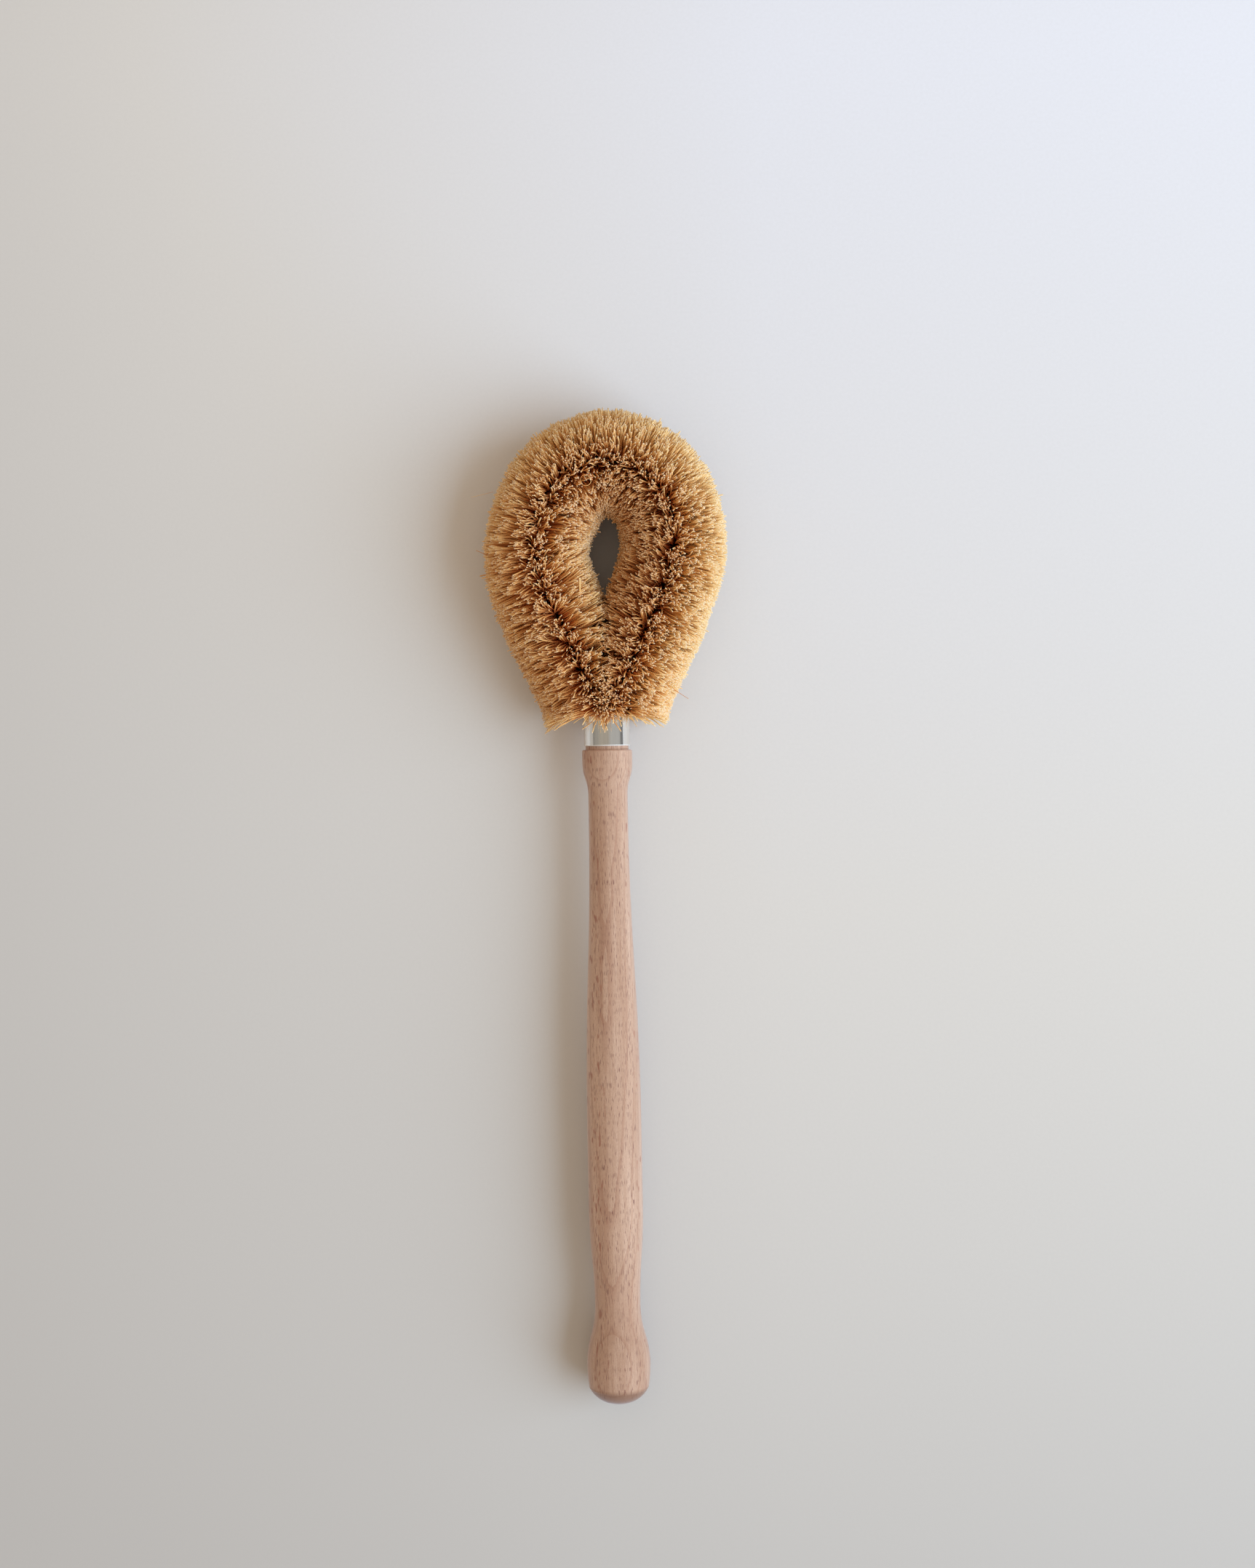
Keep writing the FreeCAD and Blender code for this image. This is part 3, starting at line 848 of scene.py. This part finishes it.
def make_grain():
    """The node group: a noise whose space is divided by the three sizes of a mark."""
    group = bpy.data.node_groups.new("grain", "ShaderNodeTree")
    group.interface.new_socket("Place", in_out="INPUT", socket_type="NodeSocketVector")
    for label in ("Across", "Along", "Deep", "Detail"):
        group.interface.new_socket(label, in_out="INPUT", socket_type="NodeSocketFloat")
    group.interface.new_socket("Grain", in_out="OUTPUT", socket_type="NodeSocketFloat")
    given = add(group, "NodeGroupInput").outputs
    cell = add(group, "ShaderNodeCombineXYZ", {"X": given["Across"], "Y": given["Along"], "Z": given["Deep"]})
    scaled = add(group, "ShaderNodeVectorMath", {0: given["Place"], 1: cell.outputs[0]}, operation="DIVIDE")
    noise_inputs = {"Vector": scaled.outputs[0], "Scale": 1.0, "Detail": given["Detail"]}
    marks = add(group, "ShaderNodeTexNoise", noise_inputs)
    add(group, "NodeGroupOutput", {"Grain": marks.outputs["Fac"]})
    return group


GRAIN = make_grain()


def grain(tree, place, across, along, deep, detail=2.0):
    """Grain with marks of this width, length and depth, in metres."""
    inputs = {"Place": place, "Across": across, "Along": along, "Deep": deep, "Detail": detail}
    made = tree.nodes.new("ShaderNodeGroup")
    made.node_tree = GRAIN
    for name, value in inputs.items():
        if isinstance(value, bpy.types.NodeSocket):
            tree.links.new(value, made.inputs[name])
        else:
            made.inputs[name].default_value = value
    return made.outputs["Grain"]


print("grain takes:", [item.name for item in GRAIN.interface.items_tree if item.in_out == "INPUT"])

# %% [markdown]
# ## Beech
# Beech is pale and pinkish. Its growth rings are thin darker sheets, which the turned surface cuts
# into long lines and, where it curves in at the knob, into arcs. Its rays are hard upright ribbons
# that run out from the heart of the tree, far below: from above they show edge-on as many short thin
# dark flecks, and on the sides and on the left as fewer, broad and reddish ones. A flat picture of
# wood would have to be wrapped and would show it. A ring texture about a far-off axis and some sizes of
# grain are solid instead, so they fit the turned shape from every side. At a scale of one the rings of
# Blender's Wave texture are a tenth of pi apart. The direction from the axis of the handle tells its
# sides.

# %% Find the ways through the wood
RING_SPACING = 2.6 * MM
HEART = (18 * MM, 0.0, -62 * MM)
HEART_TILT = (math.radians(1.3), 0.0, math.radians(0.8))
SPACING_AT_SCALE_ONE = math.pi / 10
SIDE_START = 0.72
SIDE_FULL = 0.94

material, tree, shader, place = new_material("beech")
parts = add(tree, "ShaderNodeSeparateXYZ", {0: place})
rise = ALONG[2] / ALONG[1]
axis_level = maths(tree, "ADD", maths(tree, "MULTIPLY", parts.outputs["Y"], rise), BUTT[2] - BUTT[1] * rise)
level = maths(tree, "SUBTRACT", parts.outputs["Z"], axis_level)
from_axis = add(tree, "ShaderNodeCombineXYZ", {"X": parts.outputs["X"], "Z": level}).outputs[0]
facing_way = add(tree, "ShaderNodeVectorMath", {0: from_axis}, operation="NORMALIZE").outputs[0]
sideways = maths(tree, "ABSOLUTE", add(tree, "ShaderNodeSeparateXYZ", {0: facing_way}).outputs["X"])
side = spread(tree, sideways, SIDE_START, SIDE_FULL)
about_heart = {"Vector": place, "Location": [-value for value in HEART], "Rotation": HEART_TILT}
from_heart = add(tree, "ShaderNodeMapping", about_heart).outputs[0]
ring_inputs = {"Vector": from_heart, "Scale": SPACING_AT_SCALE_ONE / RING_SPACING, "Distortion": 2.2}
ring_inputs.update({"Detail": 2.0, "Detail Scale": 0.25})
ring_kind = {"wave_type": "RINGS", "rings_direction": "Y", "wave_profile": "SAW"}
rings = add(tree, "ShaderNodeTexWave", ring_inputs, **ring_kind)
print("rings every", round(RING_SPACING / MM, 1), "mm")

# %% [markdown]
# ## The marks of the wood
# Besides the rings every mark is grain, with sizes of its own across, along and deep. Bands are broad
# and long, streaks fine and long, and pores tiny. Flecks are thin and deep, as upright ribbons are that
# are seen edge-on, and rays are the same ribbons seen from the side, broad and not deep. All kinds are
# kept apart, because each gets a colour of its own.

# %% Make the marks of the wood
bands = grain(tree, place, 5 * MM, 80 * MM, 5 * MM)
streaks = grain(tree, place, 0.5 * MM, 22 * MM, 1.5 * MM, 3.0)
pores = grain(tree, place, 0.14 * MM, 0.7 * MM, 0.14 * MM, 1.0)
flecks = grain(tree, place, 0.18 * MM, 2.6 * MM, 12 * MM, 0.0)
rays = grain(tree, place, 0.9 * MM, 5.0 * MM, 2.2 * MM, 1.0)
MARKS = {
    "late wood": rings.outputs["Fac"],
    "streaks": streaks,
    "pores": pores,
    "flecks": flecks,
    "rays": rays,
}
print("marks of the wood:", list(MARKS))

# %% [markdown]
# ## The colours of the wood
# Darker and paler bands lie under everything. Each kind of mark then darkens the wood where its noise is
# high: the numbers are the noise at which it starts, the noise at which it is full, and how much of
# its colour it then has. One sum of all marks would be quicker, but each has a hue of its own. The
# wood is a shade darker at the knob, and darkest on the rounded end, which is cut across the grain.

# %% Colour the wood
BANDS = [(0.32, screen_colour(192, 156, 133)), (0.68, screen_colour(212, 180, 158))]
MARK_COLOURS = {
    "late wood": (0.78, 1.00, 0.50, screen_colour(166, 120, 98)),
    "streaks": (0.38, 0.74, 0.40, screen_colour(164, 124, 100)),
    "pores": (0.35, 0.65, 0.25, screen_colour(150, 112, 92)),
    "flecks": (0.66, 0.71, 0.70, screen_colour(118, 78, 72)),
    "rays": (0.62, 0.68, 0.70, screen_colour(150, 90, 70)),
}
LEFT_START = 1.5 * MM
LEFT_FULL = 5.0 * MM
KNOB_START = 60 * MM
KNOB_FULL = 20 * MM
KNOB_SHARE = 0.25
KNOB_COLOUR = screen_colour(150, 112, 90)
END_GRAIN_START = 6.2 * MM
END_GRAIN_FULL = 4.4 * MM
END_GRAIN_SHARE = 0.7
END_GRAIN_COLOUR = screen_colour(116, 78, 56)

upright = maths(tree, "SUBTRACT", 1.0, side)
left = spread(tree, parts.outputs["X"], -LEFT_START, -LEFT_FULL)
only_where = {"flecks": upright, "rays": maths(tree, "MAXIMUM", left, side)}
wood = ramp(tree, bands, BANDS)
for kind, (start, full, share, colour) in MARK_COLOURS.items():
    shown = spread(tree, MARKS[kind], start, full, 0.0, share)
    if kind in only_where:
        shown = maths(tree, "MULTIPLY", only_where[kind], shown)
    wood = mix(tree, shown, wood, colour)
butt_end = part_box("handle")[0].y
knob = spread(tree, parts.outputs["Y"], butt_end + KNOB_START, butt_end + KNOB_FULL, 0.0, KNOB_SHARE)
wood = mix(tree, knob, wood, KNOB_COLOUR)
end_grain = spread(tree, parts.outputs["Y"], butt_end + END_GRAIN_START, butt_end + END_GRAIN_FULL)
wood = mix(tree, maths(tree, "MULTIPLY", end_grain, END_GRAIN_SHARE), wood, END_GRAIN_COLOUR)
connect(tree, wood, shader.inputs["Base Color"])
print("end of the handle:", round(butt_end / MM, 1), "mm")

# %% [markdown]
# ## The surface of the wood
# The handle is sanded and bare. Its fine fuzz catches the light at a low angle, which is what Sheen
# does, and the flecks are a trace deeper than the wood between them.

# %% Finish the beech
FLECK_DEPTH = 0.1 * MM

shader.inputs["Roughness"].default_value = 0.55
shader.inputs["Specular IOR Level"].default_value = 0.4
shader.inputs["Sheen Weight"].default_value = 0.55
shader.inputs["Sheen Roughness"].default_value = 0.4
shader.inputs["Sheen Tint"].default_value = screen_colour(236, 242, 255)
bump = add(tree, "ShaderNodeBump", {"Strength": 0.25, "Distance": FLECK_DEPTH, "Height": flecks}, invert=True)
connect(tree, bump.outputs[0], shader.inputs["Normal"])
beech = material
print("finish:", beech.name)

# %% [markdown]
# ## Plated steel
# The ferrule is drawn from bright plated sheet. It is nearly a mirror, with faint marks of the
# drawing tool along it, so its colour is almost white and what it shows is the room and the table.
# Its bands of light and shade could be painted on, but they would stay put when the brush is turned.
# The cut edge at the handle is rubbed down, and scatters the light of the window as a pale line.

# %% Make the steel of the ferrule
RIM = 0.45 * MM
DULL_STEEL = screen_colour(240, 239, 236)
BRIGHT_STEEL = screen_colour(250, 249, 247)
RIM_COLOUR = screen_colour(232, 232, 230)
STEEL_ROUGHNESS = (0.10, 0.18)
RIM_METALLIC = 0.2

material, tree, shader, place = new_material("plated_steel")
ferrule_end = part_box("ferrule")[0].y
along = add(tree, "ShaderNodeSeparateXYZ", {0: place}).outputs["Y"]
rim = spread(tree, along, ferrule_end + RIM, ferrule_end + RIM / 2)
drawn = grain(tree, place, 0.5 * MM, 30 * MM, 0.5 * MM, 3.0)
steel = mix(tree, spread(tree, drawn, *NOISE_RANGE), DULL_STEEL, BRIGHT_STEEL)
steel = mix(tree, rim, steel, RIM_COLOUR)
connect(tree, steel, shader.inputs["Base Color"])
connect(tree, spread(tree, drawn, *NOISE_RANGE, *STEEL_ROUGHNESS), shader.inputs["Roughness"])
connect(tree, spread(tree, rim, 0, 1, 1, RIM_METALLIC), shader.inputs["Metallic"])
plated_steel = material
print("finish:", plated_steel.name)

# %% [markdown]
# ## Galvanised wire
# The wires are zinc-coated. They are buried in fibre, and only a glint of them shows at the foot of
# the loop, so a plain dull metal with a faint mottling is enough.

# %% Make the steel of the wires
SPANGLE_SCALE = 700.0
DARK_ZINC = screen_colour(150, 150, 150)
PALE_ZINC = screen_colour(190, 190, 188)

material, tree, shader, place = new_material("galvanised_wire")
spangle = add(tree, "ShaderNodeTexNoise", {"Vector": place, "Scale": SPANGLE_SCALE}).outputs["Fac"]
zinc = mix(tree, spangle, DARK_ZINC, PALE_ZINC)
connect(tree, zinc, shader.inputs["Base Color"])
shader.inputs["Metallic"].default_value = 1.0
shader.inputs["Roughness"].default_value = 0.4
galvanised_wire = material
print("finish:", galvanised_wire.name)

# %% [markdown]
# ## Dress the CAD parts
# The handle, the ferrule and the wires have the right shape already. They stay where they are and
# only get their finish, in every material slot that they have.

# %% Give the finishes
FINISHES = {
    "handle": beech,
    "ferrule": plated_steel,
    "wire_strand_a": galvanised_wire,
    "wire_strand_b": galvanised_wire,
}
for name, finish in FINISHES.items():
    node = frame["nodes"][name]
    for slot in node.material_slots:
        slot.material = finish
    print(name, "is", finish.name)
